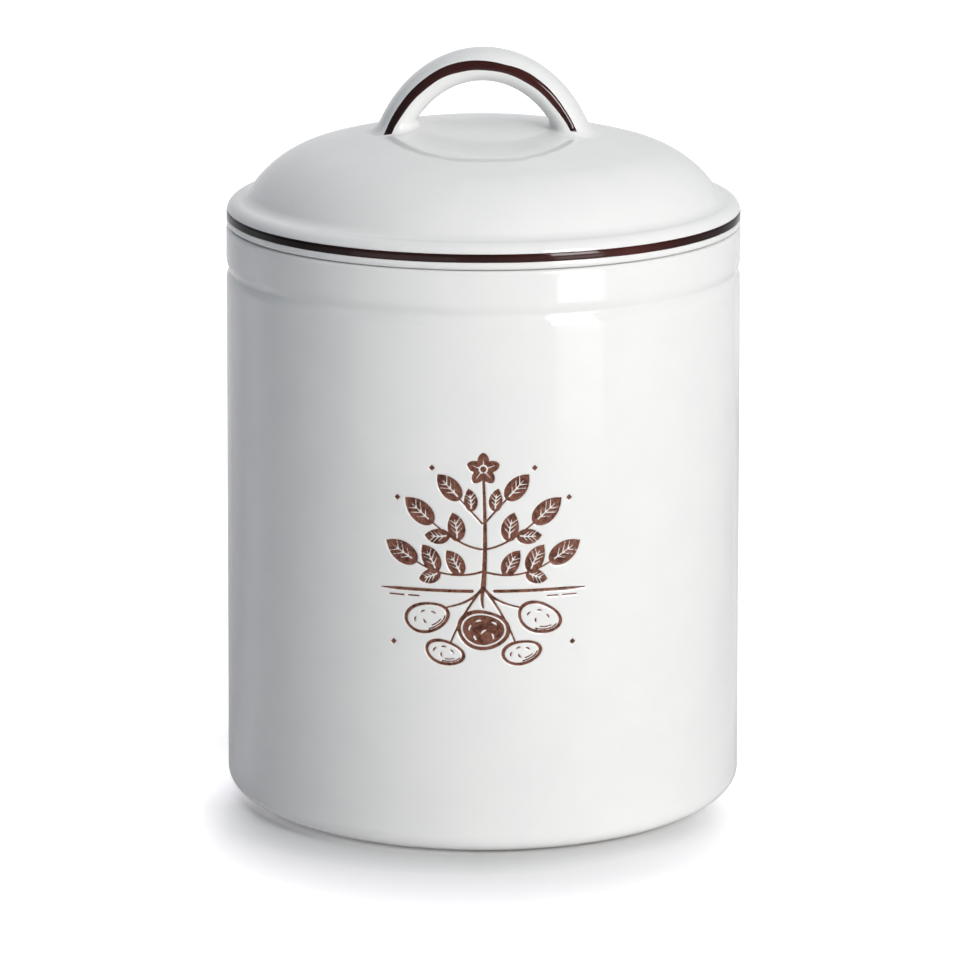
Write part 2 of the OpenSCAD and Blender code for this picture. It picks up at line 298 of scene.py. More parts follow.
def design(px, py):
    """Distance to the drawn lines of the whole design, negative inside them."""
    stem = bend((0, -10.5), (1.4, 6), (0, 34), 1.0, 0.5, 20)
    found = stroke(px, py, stem)
    for side in (-1, 1):
        sx = px * side
        # Three leaf stalks, the ground as a long line over dashes, and two roots
        for part in (
            spray(sx, py, (0, -3.5), (14, -8), (27, 0.5),
                  [(0.95, 0, 14, 4.0, -4), (0.68, 1, 11.5, 3.4, 44), (0.34, 1, 11, 3.2, 60),
                   (0.6, -1, 8.5, 2.7, 34)]),
            spray(sx, py, (0.5, 5), (9, 6), (20.5, 16),
                  [(0.95, 0, 14, 4.0, 0), (0.5, 1, 11, 3.3, 50), (0.66, -1, 9.5, 2.9, 34)]),
            spray(sx, py, (0.5, 15), (4, 19), (9.5, 25),
                  [(0.95, 0, 12.5, 3.7, 2), (0.5, 1, 9, 2.5, 34)]),
            stroke(sx, py, [(4.2, -11.2, 0.62), (33, -11.2, 0.62), (39.5, -11.2, 0.2)]),
            stroke(sx, py, [(24.5, -13.6, 0.3), (28.5, -13.6, 0.3)]),
            stroke(sx, py, [(30.5, -13.6, 0.3), (36, -13.6, 0.3)]),
            stroke(sx, py, bend((0.3, -10), (4, -15.5), (13.5, -17.5), 0.6, 0.34, 12)),
            stroke(sx, py, bend((0.2, -10), (8, -20), (12.3, -31.4), 0.5, 0.34, 12)),
        ):
            found = np.minimum(found, part)
        # Small diamonds in the open corners
        for x, y in ((33, 24), (19.5, 36), (34.5, -32)):
            found = np.minimum(found, (np.abs(sx - x) + np.abs(py - y)) * 0.72 - 0.85)
    found = np.minimum(found, stroke(px, py, bend((0, -10), (-0.8, -14), (0, -17.5), 0.8, 0.4, 8)))
    many = [(-0.5, 0.1, 1.1, 70), (-0.18, 0.42, 1.0, 15), (0.02, -0.1, 1.2, 40),
            (0.42, 0.3, 1.1, -30), (-0.3, -0.38, 1.0, 120), (0.36, -0.32, 1.1, -75)]
    few = [(-0.52, 0.05, 0.9, 65), (-0.1, 0.4, 0.9, 10), (-0.12, -0.22, 0.9, 110), (0.34, 0.18, 0.9, -40)]
    found = np.minimum(found, tuber(px, py, 0, -26.2, 9.8, 8, 0, many, True))
    for x, y, a, b, turn in ((-21.5, -21.8, 8.6, 6.2, 16), (21.5, -21.8, 8.6, 6.2, -16),
                             (-14.6, -35.2, 7.6, 5.0, -12), (14.6, -35.2, 7.6, 5.0, 12)):
        found = np.minimum(found, tuber(px, py, x, y, a, b, turn, few, False))
    return np.minimum(found, flower(px, py, 0, 35.8, 6.2))


# The jar
def wall_out(z):
    """The wall's outer radius at a height, apart from the groove."""
    return RIM_R + WALL_SPREAD * (1 - z / JAR_H)


def jar_profile():
    """The jar's profile, from the middle of its underside round the wall to the middle of its floor.
    The groove is three arcs that meet without a corner."""
    lean = math.degrees(math.atan(WALL_SPREAD / JAR_H))
    turn = 2 * math.degrees(math.atan(2 * GROOVE_T / GROOVE_H))
    sum_r = GROOVE_H / 2 / sind(turn)
    edge_r = sum_r - GROOVE_LOW_R
    start = JAR_H - GROOVE_DROP - GROOVE_H / 2 * cosd(lean)
    low = np.array([wall_out(start) - edge_r * cosd(lean), start - edge_r * sind(lean)])
    bottom = low + sum_r * np.array([cosd(lean + turn), sind(lean + turn)])
    high = bottom - sum_r * np.array([cosd(lean - turn), sind(lean - turn)])
    floor_z = RECESS_H + FLOOR_T
    foot_out = wall_out(0) - CORNER_W
    foot_in = foot_out - FOOT_W
    mouth_r = RIM_R - WALL_T
    inner_z = floor_z + INNER_CORNER_R
    return chain(
        [[0, RECESS_H], [foot_in - RECESS_H, RECESS_H]],
        arc(foot_in + RECESS_H / 2, RECESS_H / 2, RECESS_H / 2, 180, 270, 5),
        arc(foot_out, CORNER_H, CORNER_W, 270, 360, 26, CORNER_H),
        arc(*low, edge_r, lean, lean + turn, 8),
        arc(*bottom, GROOVE_LOW_R, 180 + lean + turn, 180 + lean - turn, 8),
        arc(*high, edge_r, lean - turn, lean, 8),
        arc(RIM_R - RIM_EDGE_R, JAR_H - RIM_EDGE_R, RIM_EDGE_R, 0, 90, 7),
        arc(mouth_r + RIM_EDGE_R, JAR_H - RIM_EDGE_R, RIM_EDGE_R, 90, 180, 7),
        arc(wall_out(inner_z) - WALL_T - INNER_CORNER_R, inner_z, INNER_CORNER_R, 360, 270, 12),
        [[0, floor_z]],
    )


# The jar has COLUMNS points round. A hole between two heights at its front holds the fine patch with
# the design, which is wrapped at DESIGN_R. The patch stays PATCH_MARGIN inside the hole above and
# below, and SIDE_MARGIN of a column at the sides
COLUMNS = 180
HOLE_LOW, HOLE_HIGH, HOLE_COLUMNS, HOLE_ROWS = 70.0, 162.0, 13, 23
PATCH_MARGIN, SIDE_MARGIN = 2.0, 0.9
DESIGN_Z, DESIGN_R, DESIGN_DEPTH, DESIGN_SLOPE, DENSE_STEP = 116.0, 101.0, 0.45, 0.55, 0.34


def design_patch():
    """Grids of points, of normals and of distances to the ink, for the patch with the design."""
    step = 360.0 / COLUMNS
    half = (HOLE_COLUMNS - SIDE_MARGIN) * step
    across = int(round(math.radians(2 * half) * DESIGN_R / DENSE_STEP)) + 1
    upward = int(round((HOLE_HIGH - HOLE_LOW - 2 * PATCH_MARGIN) / DENSE_STEP)) + 1
    heights = np.linspace(HOLE_LOW + PATCH_MARGIN, HOLE_HIGH - PATCH_MARGIN, upward)
    angle, z = np.meshgrid(np.linspace(-half, half, across), heights)
    a = np.radians(angle)
    r = wall_out(z)
    ink = design(a * DESIGN_R, z - DESIGN_Z)
    t = np.clip(0.5 - ink / DESIGN_SLOPE, 0, 1)
    depth = DESIGN_DEPTH * t * t * (3 - 2 * t)
    along_z = np.gradient(depth, z[:, 0], axis=0)
    along_x = np.gradient(depth, a[0] * DESIGN_R, axis=1)
    out = np.stack([np.sin(a), -np.cos(a), np.full(a.shape, WALL_SPREAD / JAR_H)], -1)
    right = np.stack([np.cos(a), np.sin(a), np.zeros(a.shape)], -1)
    points = np.stack([r * np.sin(a), -r * np.cos(a), z], -1) - out * depth[..., None]
    facing = out + right * along_x[..., None]
    facing[..., 2] += along_z
    facing /= np.linalg.norm(facing, axis=-1, keepdims=True)
    return points, facing, ink


def jar_mesh():
    """The jar's points, faces, normals and distances to the ink. It is turned round the Z axis, and
    its hole at the front is filled with the patch that has the design."""
    profile = jar_profile()
    above = int(np.argmax(profile[:, 1] > HOLE_LOW))
    heights = np.linspace(HOLE_LOW, HOLE_HIGH, HOLE_ROWS + 1)
    rows = np.column_stack([wall_out(heights), heights])
    profile = np.vstack([profile[:above], rows, profile[above:]])
    points, normals, faces, start = lathe(profile, COLUMNS, (above, above + HOLE_ROWS, HOLE_COLUMNS))
    patch, facing, ink = design_patch()
    upward, across = ink.shape
    base = len(points)
    faces += grid_faces(upward, across, base)

    def level(row):
        return [start[row] + k % COLUMNS for k in range(-HOLE_COLUMNS, HOLE_COLUMNS + 1)]

    def upright(column):
        return [start[above + i] + column for i in range(HOLE_ROWS + 1)]

    # The hole's four sides, and those of the patch, are joined in turn
    index = base + np.arange(upward * across).reshape(upward, across)
    outer = (level(above), upright(HOLE_COLUMNS), level(above + HOLE_ROWS)[::-1],
             upright(COLUMNS - HOLE_COLUMNS)[::-1])
    inner = (index[0], index[:, -1], index[-1][::-1], index[:, 0][::-1])
    for one, other in zip(outer, inner):
        faces += zipped(one, np.linspace(0, 1, len(one)), other, np.linspace(0, 1, len(other)))
    return (
        np.vstack([points, patch.reshape(-1, 3)]),
        [tuple(int(i) for i in f) for f in faces],
        np.vstack([normals, facing.reshape(-1, 3)]),
        np.concatenate([np.full(base, FAR), ink.ravel()]),
    )


# The lid
SEAT_Z = JAR_H + SEAT_GAP
LID_R = RIM_R - EDGE_INSET
EDGE_Z = SEAT_Z + EDGE_H
FLANGE_X = LID_R - EDGE_TOP_R
HOLLOW_X = FLANGE_X + (EDGE_TOP_R + HOLLOW_R) * sind(FLANGE_SLOPE)
HOLLOW_Z = EDGE_Z + (EDGE_TOP_R + HOLLOW_R) * cosd(FLANGE_SLOPE)
SHOULDER_X = HOLLOW_X - (HOLLOW_R + SHOULDER_R) * sind(DOME_SLOPE)
SHOULDER_Z = HOLLOW_Z - (HOLLOW_R + SHOULDER_R) * cosd(DOME_SLOPE)
CROWN_X = SHOULDER_X + SHOULDER_R * sind(CROWN_SLOPE)
CROWN_R = CROWN_X / sind(CROWN_SLOPE)
CROWN_Z = SHOULDER_Z + (SHOULDER_R - CROWN_R) * cosd(CROWN_SLOPE)
LID_TOP = CROWN_Z + CROWN_R
LINE_LOW = SEAT_Z + EDGE_LINE_RISE
LINE_HIGH = LINE_LOW + EDGE_LINE_W


def edge_x(z):
    """Radius of the lid's edge at a height within the painted line."""
    return LID_R if z <= EDGE_Z else FLANGE_X + math.sqrt(EDGE_TOP_R**2 - (z - EDGE_Z) ** 2)


def lid_profile():
    """The lid's profile, from the middle of its underside round the locating ring, the edge and the
    groove of the painted line to the middle of its crown."""
    ring_out = RIM_R - WALL_T - RING_GAP
    ring_in = SHOULDER_X + (SHOULDER_R - LID_T) * sind(DOME_SLOPE)
    ring_z = SEAT_Z - RING_H
    stop = math.degrees(math.asin((LINE_HIGH - EDGE_Z) / EDGE_TOP_R))
    # The groove of the painted line has soft lips, and its floor is a little narrower than its mouth
    lip, lip_share, narrower, top_angle = 0.12, 0.25, 0.02, 1.5
    soft = lip_share * lip
    top_x, floor_x = edge_x(LINE_HIGH), LID_R - EDGE_LINE_T
    return chain(
        [[0, CROWN_Z + CROWN_R - LID_T]],
        arc(0, CROWN_Z, CROWN_R - LID_T, 90, 90 - CROWN_SLOPE, 14),
        arc(SHOULDER_X, SHOULDER_Z, SHOULDER_R - LID_T, 90 - CROWN_SLOPE, 90 - DOME_SLOPE, 16),
        arc(ring_in + RING_EDGE_R, ring_z + RING_EDGE_R, RING_EDGE_R, 180, 270, 6),
        arc(ring_out - RING_EDGE_R, ring_z + RING_EDGE_R, RING_EDGE_R, 270, 360, 6),
        [[ring_out, SEAT_Z]],
        arc(LID_R - EDGE_LOW_R, SEAT_Z + EDGE_LOW_R, EDGE_LOW_R, 270, 360, 9),
        [[LID_R, LINE_LOW - lip], [LID_R - soft, LINE_LOW - soft], [LID_R - lip, LINE_LOW]],
        [[floor_x, LINE_LOW + narrower], [top_x - EDGE_LINE_T, LINE_HIGH - narrower]],
        [[top_x - lip, LINE_HIGH]],
        arc(FLANGE_X, EDGE_Z, EDGE_TOP_R, stop + top_angle, 90 - FLANGE_SLOPE, 16),
        arc(HOLLOW_X, HOLLOW_Z, HOLLOW_R, 270 - FLANGE_SLOPE, 270 - DOME_SLOPE, 14),
        arc(SHOULDER_X, SHOULDER_Z, SHOULDER_R, 90 - DOME_SLOPE, 90 - CROWN_SLOPE, 30),
        arc(0, CROWN_Z, CROWN_R, 90 - CROWN_SLOPE, 90, 18),
        close=0.15,
    )


def edge_line_mesh(count=720):
    """The painted line round the lid: a low bead of glaze with edges that wander a little."""
    steps, edge_gap, back_gap, sunk, bead = 10, 0.08, 0.03, 0.10, 0.08
    angle = np.arange(count) * 360.0 / count
    a = np.radians(angle)
    waver_low = 0.05 * np.sin(5 * a + 0.4) + 0.04 * np.sin(13 * a + 2.1) + 0.02 * np.sin(29 * a)
    waver_high = 0.06 * np.sin(4 * a + 1.7) + 0.03 * np.sin(11 * a + 0.6) + 0.02 * np.sin(31 * a + 1)
    rows = []
    for i in range(steps + 1):
        t = i / steps
        z = (LINE_LOW + edge_gap + waver_low) * (1 - t) + (LINE_HIGH - edge_gap + waver_high) * t
        x = np.array([edge_x(h) for h in z])
        rows.append(turned(x - sunk + bead * (1 - abs(2 * t - 1) ** 5), z, angle))
    for x, z in ((edge_x(LINE_HIGH), LINE_HIGH - back_gap), (edge_x(LINE_LOW), LINE_LOW + back_gap)):
        rows.append(turned(np.full(count, x - EDGE_LINE_T), np.full(count, z), angle))
    faces = grid_faces(len(rows), count, closed=True)
    last = (len(rows) - 1) * count
    faces += [(last + k, last + (k + 1) % count, (k + 1) % count, k) for k in range(count)]
    return np.vstack(rows), faces


# The handle
ARCH_Z = LID_TOP - ARCH_DROP


def dome_z(r):
    """Height of the dome's surface at a radius."""
    r = np.asarray(r, float)
    crown = CROWN_Z + np.sqrt(np.maximum(CROWN_R**2 - r**2, 0))
    shoulder = SHOULDER_Z + np.sqrt(np.maximum(SHOULDER_R**2 - (r - SHOULDER_X) ** 2, 0))
    return np.where(r < CROWN_X, crown, shoulder)


def rounded(c):
    """Turns the cosine or sine of an angle round an oval into that of a fuller, squarer oval."""
    return np.sign(c) * np.abs(c) ** (2 / STRAP_SQUARE)


def strap_point(t, a, lift=0.0):
    """A point of the strap: t degrees along the arch and a degrees round its section."""
    t, a = np.radians(t), np.radians(a)
    mx, mz = ARCH_HALF_W * np.cos(t), ARCH_Z + ARCH_H * np.sin(t)
    vx, vz = ARCH_H * np.cos(t), ARCH_HALF_W * np.sin(t)
    size = np.hypot(vx, vz)
    out = (STRAP_T / 2 + lift) * rounded(np.cos(a))
    depth = (STRAP_D + STRAP_SPREAD * np.cos(t) ** 2) / 2 + lift
    return np.stack([mx + vx / size * out, -depth * rounded(np.sin(a)), mz + vz / size * out], -1)


def line_out(t):
    """Angle round the strap of the painted line's outer edge, at t degrees along the arch."""
    return LINE_OUT_TOP + (LINE_OUT_FOOT - LINE_OUT_TOP) * np.cos(np.radians(t)) ** 2


def follow(section, height):
    """The angle along the arch at which each rail is at a height over the dome, by halving."""
    lowest, highest, halvings = 2.0, 90.0, 30
    shape = np.shape(section(lowest))
    low, high = np.full(shape, lowest), np.full(shape, highest)
    for _ in range(halvings):
        middle = (low + high) / 2
        p = strap_point(middle, section(middle))
        over = p[..., 2] - dome_z(np.hypot(p[..., 0], p[..., 1])) > height
        low, high = np.where(over, low, middle), np.where(over, middle, high)
    return (low + high) / 2


def rail_rings(section, arch_steps, fillet_steps, fillet, lift=0.0, stop=None):
    """Rings of points from the top of the arch to a foot on the +X side. section(t) gives each
    rail's angle round the strap at t, lift raises the points off the strap, and stop ends the rings
    below that height over the dome."""
    end = follow(section, fillet)
    rings = []
    for k in range(arch_steps + 1):
        t = 90 - (90 - end) * k / arch_steps
        rings.append(strap_point(t, section(t), lift))
    for k in range(1, fillet_steps + 1):
        turn = math.radians(90.0 * k / fillet_steps)
        height, spread = fillet * (1 - math.sin(turn)), fillet * (1 - math.cos(turn))
        t = follow(section, height)
        p = strap_point(t, section(t), lift)
        plain = strap_point(t, section(t))
        away = np.stack([p[..., 0] - ARCH_HALF_W * np.cos(np.radians(t)), p[..., 1]], -1)
        q = p[..., :2] + spread * away / np.linalg.norm(away, axis=-1, keepdims=True)
        rise = height + p[..., 2] - plain[..., 2]
        rings.append(np.column_stack([q, dome_z(np.hypot(q[:, 0], q[:, 1])) + rise]))
        if stop is not None and height < stop:
            break
    return rings


def both_sides(left, right):
    """The rings from the -X foot over the top to the +X foot. Both legs come as on the +X side."""
    return [ring * np.array([-1.0, 1.0, 1.0]) for ring in left[:0:-1]] + right


def lid_turned(points):
    """The points, turned about the Z axis as the lid stands in the mouth."""
    c, s = cosd(LID_TURN), sind(LID_TURN)
    return np.asarray(points) @ np.array([[c, s, 0], [-s, c, 0], [0, 0, 1]])


def handle_mesh():
    """The strap with a fillet at each foot, which dips just under the dome at its end, so that foot
    and dome meet without a step."""
    count, arch_steps, fillet_steps, reach, dip = 128, 72, 16, 0.5, 0.06
    spots = 360.0 * (np.arange(count) + 0.5) / count

    def section(t):
        """The rails keep their angles round the strap all along the arch."""
        return spots

    rings = rail_rings(section, arch_steps, fillet_steps, FOOT_FILLET)
    last = rings[-1]
    away = last - last.mean(axis=0)
    away[:, 2] = 0
    end = last + reach * away / np.linalg.norm(away, axis=1, keepdims=True)
    end[:, 2] = dome_z(np.hypot(end[:, 0], end[:, 1])) - dip
    rings = both_sides(rings + [end], rings + [end])
    return lid_turned(np.vstack(rings)), grid_faces(len(rings), count, closed=True)


# How far the painted lines stand out from their plain edges, in degrees round the strap, at the
# angles HAND_T along the arch: for the left (-1) and right (1) leg, at the outer and the inner edge.
# HAND_STOP is the height over the dome, in millimetres, at which they end
HAND_T = (15.0, 40.0, 65.0, 78.0, 90.0)
HAND_OUT = {-1: (1.5, 6.0, 6.5, 3.5, -1.5), 1: (2.0, 2.0, 4.0, -3.0, -1.5)}
HAND_IN = {-1: (1.0, 2.0, 1.0, 3.0, 4.0), 1: (-5.0, 1.0, 3.5, 3.0, 4.0)}
HAND_STOP = {-1: 0.4, 1: 1.9}


def strap_line_mesh(front, seed):
    """One painted line on the strap: a low bead of glaze whose edges wander a little."""
    steps, arch_steps, fillet_steps = 12, 84, 14
    edge_lift, bead, under_lift, tip_share = -0.05, 0.19, -0.3, 0.55
    waves = ((0.6, 3), (0.5, 8), (0.4, 19))
    rng = np.random.default_rng(seed)
    phase = rng.uniform(0, 2 * math.pi, 8)
    share = np.linspace(0, 1, steps + 1)
    lift = edge_lift + bead * (1 - np.abs(2 * share - 1) ** 4)
    legs = []

    def waver(t, first):
        t = np.radians(t)
        return sum(size * np.sin(times * t + phase[first + i]) for i, (size, times) in enumerate(waves))

    for side in (-1, 1):

        def section(t):
            over = t if side > 0 else 180 - t
            first = line_out(t) - np.interp(t, HAND_T, HAND_OUT[side]) + waver(over, 0)
            last = LINE_IN + np.interp(t, HAND_T, HAND_IN[side]) + waver(over, 4)
            return first + (last - first) * share

        top, under = (rail_rings(section, arch_steps, fillet_steps, FOOT_FILLET, height, HAND_STOP[side])
                      for height in (lift, np.full(steps + 1, under_lift)))
        # The end is drawn in to a soft tip
        deep = under[-1]
        top += [top[-1] * tip_share + deep * (1 - tip_share), deep]
        under += [deep, deep]
        legs.append([np.vstack([high, low[::-1]]) for high, low in zip(top, under)])
    rings = both_sides(*legs)
    points = np.vstack(rings)
    if not front:
        points = points * np.array([-1, -1, 1])
    return lid_turned(points), grid_faces(len(rings), 2 * (steps + 1), closed=True)


# Materials
GLAZE_IOR = 1.52
WHITE_A, WHITE_B, SPECK = (0.905, 0.905, 0.895), (0.885, 0.888, 0.882), (0.42, 0.36, 0.30)
CLAY_A, CLAY_B = (0.70, 0.63, 0.54), (0.80, 0.75, 0.67)
INK_A, INK_B = (0.085, 0.028, 0.018), (0.27, 0.11, 0.075)
INK_THIN, INK_THICK, INK_HALO = (0.34, 0.16, 0.115), (0.045, 0.016, 0.011), (0.90, 0.72, 0.63)
# In millimetres, how far the bare clay rises over what the jar and the lid rest on, and its blend
BARE_RISE, BARE_BLEND = 0.6, 0.3
LINE_FLECK = (0.12, 0.035, 0.028)
# The painted lines' base colours along X, from -TONES_REACH to TONES_REACH: (place in metres, red).
# Besides the lines' own tone they paint shade and sheen: darker towards the sides and the feet, most on
# the left, and lighter and redder at the front right of the edge line and on top of the strap
TONES_REACH = 0.1
EDGE_TONES_AND_LIGHT = ((-0.100, 0.005), (-0.065, 0.009), (-0.050, 0.020), (-0.034, 0.034), (-0.018, 0.026),
              (0.0, 0.027), (0.020, 0.038), (0.042, 0.058), (0.053, 0.072), (0.062, 0.052),
              (0.072, 0.036), (0.090, 0.012))
STRAP_TONES_AND_LIGHT = ((-0.040, 0.006), (-0.028, 0.028), (-0.010, 0.050), (0.010, 0.052), (0.026, 0.052),
               (0.036, 0.026))


def nodes_of(name):
    """A new material with its node tree and its shader."""
    material = bpy.data.materials.new(name)
    material.use_nodes = True
    tree = material.node_tree
    return material, tree, tree.nodes["Principled BSDF"]


def node(tree, kind, inputs=None, **settings):
    """A new node. An input is a number, a colour, or an output of another node."""
    made = tree.nodes.new(kind)
    for key, value in settings.items():
        setattr(made, key, value)
    for key, value in (inputs or {}).items():
        if isinstance(value, bpy.types.NodeSocket):
            tree.links.new(value, made.inputs[key])
        else:
            made.inputs[key].default_value = value
    return made


def math_node(tree, operation, a, b=0.0, c=0.0):
    """The output of a math node on up to three values."""
    return node(tree, "ShaderNodeMath", {0: a, 1: b, 2: c}, operation=operation).outputs[0]


def total(tree, first, *others):
    """The sum of values, which are numbers or outputs of nodes."""
    for other in others:
        first = math_node(tree, "ADD", first, other)
    return first


def product(tree, first, *others):
    """The product of values, which are numbers or outputs of nodes."""
    for other in others:
        first = math_node(tree, "MULTIPLY", first, other)
    return first


def vector_node(tree, operation, a, b=(0.0, 0.0, 0.0)):
    """The output of a vector math node, which is a number for LENGTH and a vector otherwise."""
    made = node(tree, "ShaderNodeVectorMath", {0: a, 1: b}, operation=operation)
    return made.outputs["Value" if operation == "LENGTH" else "Vector"]


def parts_of(tree, vector):
    """The X, Y and Z of a vector."""
    return node(tree, "ShaderNodeSeparateXYZ", {"Vector": vector}).outputs


def noise(tree, coordinates, scale, detail=2.0, roughness=0.5):
    """Soft noise between 0 and 1. Its scale is in waves per metre."""
    made = node(tree, "ShaderNodeTexNoise", {"Vector": coordinates, "Scale": scale, "Detail": detail,
                                             "Roughness": roughness})
    return made.outputs["Fac"]


def spread(tree, value, low, high, to_low, to_high, smooth=False):
    """A value that runs from to_low to to_high as another runs from low to high, and stays there."""
    made = node(tree, "ShaderNodeMapRange", {"Value": value, "From Min": low, "From Max": high,
                                             "To Min": to_low, "To Max": to_high},
                interpolation_type="SMOOTHSTEP" if smooth else "LINEAR")
    return made.outputs["Result"]


def mix(tree, share, a, b):
    """A blend of two colours, from a at share 0 to b at share 1."""
    made = node(tree, "ShaderNodeMix", {0: share}, data_type="RGBA")
    for index, value in ((6, a), (7, b)):
        if isinstance(value, bpy.types.NodeSocket):
            tree.links.new(value, made.inputs[index])
        else:
            made.inputs[index].default_value = (*value, 1.0)
    return made.outputs[2]


def finish_glaze(tree, shader, colour, rough, height, bump_distance):
    """Links the looks to the shader, with a bump from height times bump_distance metres."""
    tree.links.new(colour, shader.inputs["Base Color"])
    tree.links.new(rough, shader.inputs["Roughness"])
    bump = node(tree, "ShaderNodeBump", {"Strength": 1.0, "Distance": bump_distance, "Height": height})
    tree.links.new(bump.outputs["Normal"], shader.inputs["Normal"])
    shader.inputs["IOR"].default_value = GLAZE_IOR


def specked(tree, place, colour):
    """The colour with rare dark specks, in one of fourteen cells of about 10 mm."""
    spots = node(tree, "ShaderNodeTexVoronoi", {"Vector": place, "Scale": 95.0}).outputs
    chance = node(tree, "ShaderNodeSeparateColor", {"Color": spots["Color"]}).outputs[0]
    rare = math_node(tree, "GREATER_THAN", chance, 0.93)
    dot = product(tree, spread(tree, spots["Distance"], 0.012, 0.03, 0.35, 0.0), rare)
    return mix(tree, dot, colour, SPECK)


def inked(tree, shader, place, colour, rough):
    """The colour and roughness with the design's ink on them. It is mottled brown, thin and thick in
    places, with an uneven edge and a faint warm halo, and it is less glossy than the glaze."""
    far = node(tree, "ShaderNodeAttribute", attribute_name="ink", attribute_type="GEOMETRY").outputs["Fac"]
    mottle, patch = noise(tree, place, 900.0, 5.0, 0.65), noise(tree, place, 260.0, 2.0)
    brown = mix(tree, spread(tree, mottle, 0.36, 0.66, 0.0, 1.0), INK_A, INK_B)
    brown = mix(tree, spread(tree, patch, 0.45, 0.75, 0.0, 0.5), brown, INK_THIN)
    brown = mix(tree, spread(tree, patch, 0.28, 0.46, 0.75, 0.0), brown, INK_THICK)
    uneven = product(tree, math_node(tree, "SUBTRACT", mottle, 0.5), 0.12)
    inside = spread(tree, total(tree, far, uneven), -0.07, 0.05, 1.0, 0.0, True)
    colour = mix(tree, spread(tree, far, 0.05, 0.5, 0.28, 0.0), colour, INK_HALO)
    tree.links.new(spread(tree, inside, 0.0, 1.0, 0.5, 0.2), shader.inputs["Specular IOR Level"])
    return mix(tree, inside, colour, brown), math_node(tree, "MULTIPLY_ADD", inside, 0.16, rough)


def white_glaze(name, bare_z=None, ink=False):
    """Glossy white glaze over a white body: a slow waviness, a very fine skin and rare specks.
    Under the height bare_z the clay is left bare."""
    material, tree, shader = nodes_of(name)
    place = node(tree, "ShaderNodeTexCoord").outputs["Object"]
    slow, fine = noise(tree, place, 22.0, 2.0), noise(tree, place, 420.0, 3.0)
    tone = spread(tree, noise(tree, place, 55.0, 4.0), 0.35, 0.65, 0.0, 1.0)
    colour = specked(tree, place, mix(tree, tone, WHITE_A, WHITE_B))
    rough = spread(tree, fine, 0.3, 0.7, 0.03, 0.05)
    height = total(tree, product(tree, slow, 0.35), product(tree, fine, 0.006))
    if ink:
        colour, rough = inked(tree, shader, place, colour, rough)
    if bare_z is not None:
        z = parts_of(tree, place)["Z"]
        uneven = math_node(tree, "SUBTRACT", noise(tree, place, 60.0), 0.5)
        wavy = math_node(tree, "MULTIPLY_ADD", uneven, 0.0012, z)
        clay = spread(tree, wavy, bare_z * MM, (bare_z + BARE_BLEND) * MM, 1.0, 0.0, True)
        grain = noise(tree, place, 1500.0, 6.0, 0.7)
        colour = mix(tree, clay, colour, mix(tree, grain, CLAY_A, CLAY_B))
        rough = math_node(tree, "MULTIPLY_ADD", clay, 0.72, rough)
        height = math_node(tree, "MULTIPLY_ADD", product(tree, clay, grain), 0.12, height)
    finish_glaze(tree, shader, colour, rough, height, bump_distance=0.00028)
    return material


def brown_glaze(name, tones_and_light, gloss, gloss_beside=None):
    """The painted line: very dark red-brown glaze, thinner and redder in places. Its base colour
    also changes along X, which paints shade and sheen into it: darker towards the left and right,
    most on the left, and lighter and redder in between. gloss is its specular level, and gloss_beside
    that at the left and right sides of the object, if it differs."""
    material, tree, shader = nodes_of(name)
    place = node(tree, "ShaderNodeTexCoord").outputs["Object"]
    fine = noise(tree, place, 700.0, 4.0, 0.6)
    x = parts_of(tree, place)["X"]
    # Base colour along X, with painted shade at the sides and painted sheen in between, besides the line's
    # own tone
    ramp = node(tree, "ShaderNodeValToRGB", {"Fac": spread(tree, x, -TONES_REACH, TONES_REACH, 0.0, 1.0)})
    stops = ramp.color_ramp.elements
    while len(stops) < len(tones_and_light):
        stops.new(1.0)
    for stop, (at, red) in zip(stops, tones_and_light):
        stop.position = 0.5 + at / (2 * TONES_REACH)
        stop.color = (red, 0.24 * red + 0.001, 0.20 * red + 0.001, 1.0)
    thickness = spread(tree, noise(tree, place, 45.0, 3.0), 0.3, 0.7, 0.78, 1.22)
    tone = node(tree, "ShaderNodeVectorMath", {0: ramp.outputs["Color"], "Scale": thickness},
                operation="SCALE").outputs["Vector"]
    colour = mix(tree, spread(tree, fine, 0.60, 0.80, 0.0, 0.25), tone, LINE_FLECK)
    rough = spread(tree, fine, 0.3, 0.7, 0.05, 0.10)
    finish_glaze(tree, shader, colour, rough, height=fine, bump_distance=0.00002)
    shader.inputs["Specular IOR Level"].default_value = gloss
    if gloss_beside is not None:
        level = spread(tree, math_node(tree, "ABSOLUTE", x), 0.055, 0.088, gloss, gloss_beside)
        tree.links.new(level, shader.inputs["Specular IOR Level"])
    return material


# Pieces
LID_COLUMNS = 256
jar_points, jar_faces, jar_normals, jar_ink = jar_mesh()
jar = make_object("jar_glazed", jar_points, jar_faces, jar_normals, ink=jar_ink)
jar.data.materials.append(white_glaze("jar_white_glaze", bare_z=BARE_RISE, ink=True))
lid_points, lid_normals, lid_faces, _ = lathe(lid_profile(), LID_COLUMNS)
lid = make_object("lid_glazed", lid_points, lid_faces, lid_normals)
lid.data.materials.append(white_glaze("lid_white_glaze", bare_z=SEAT_Z - RING_H + BARE_RISE))
handle = make_object("handle_glazed", *handle_mesh())
handle.data.materials.append(white_glaze("handle_white_glaze"))
edge_line = make_object("edge_line_glazed", *edge_line_mesh())
edge_line.data.materials.append(brown_glaze("edge_line_glaze", EDGE_TONES_AND_LIGHT, gloss=0.32, gloss_beside=0.05))
line_front = make_object("handle_line_front_glazed", *strap_line_mesh(front=True, seed=4))
line_back = make_object("handle_line_back_glazed", *strap_line_mesh(front=False, seed=9))
strap_brown = brown_glaze("strap_line_glaze", STRAP_TONES_AND_LIGHT, gloss=0.42)
for piece in (line_front, line_back):
    piece.data.materials.append(strap_brown)

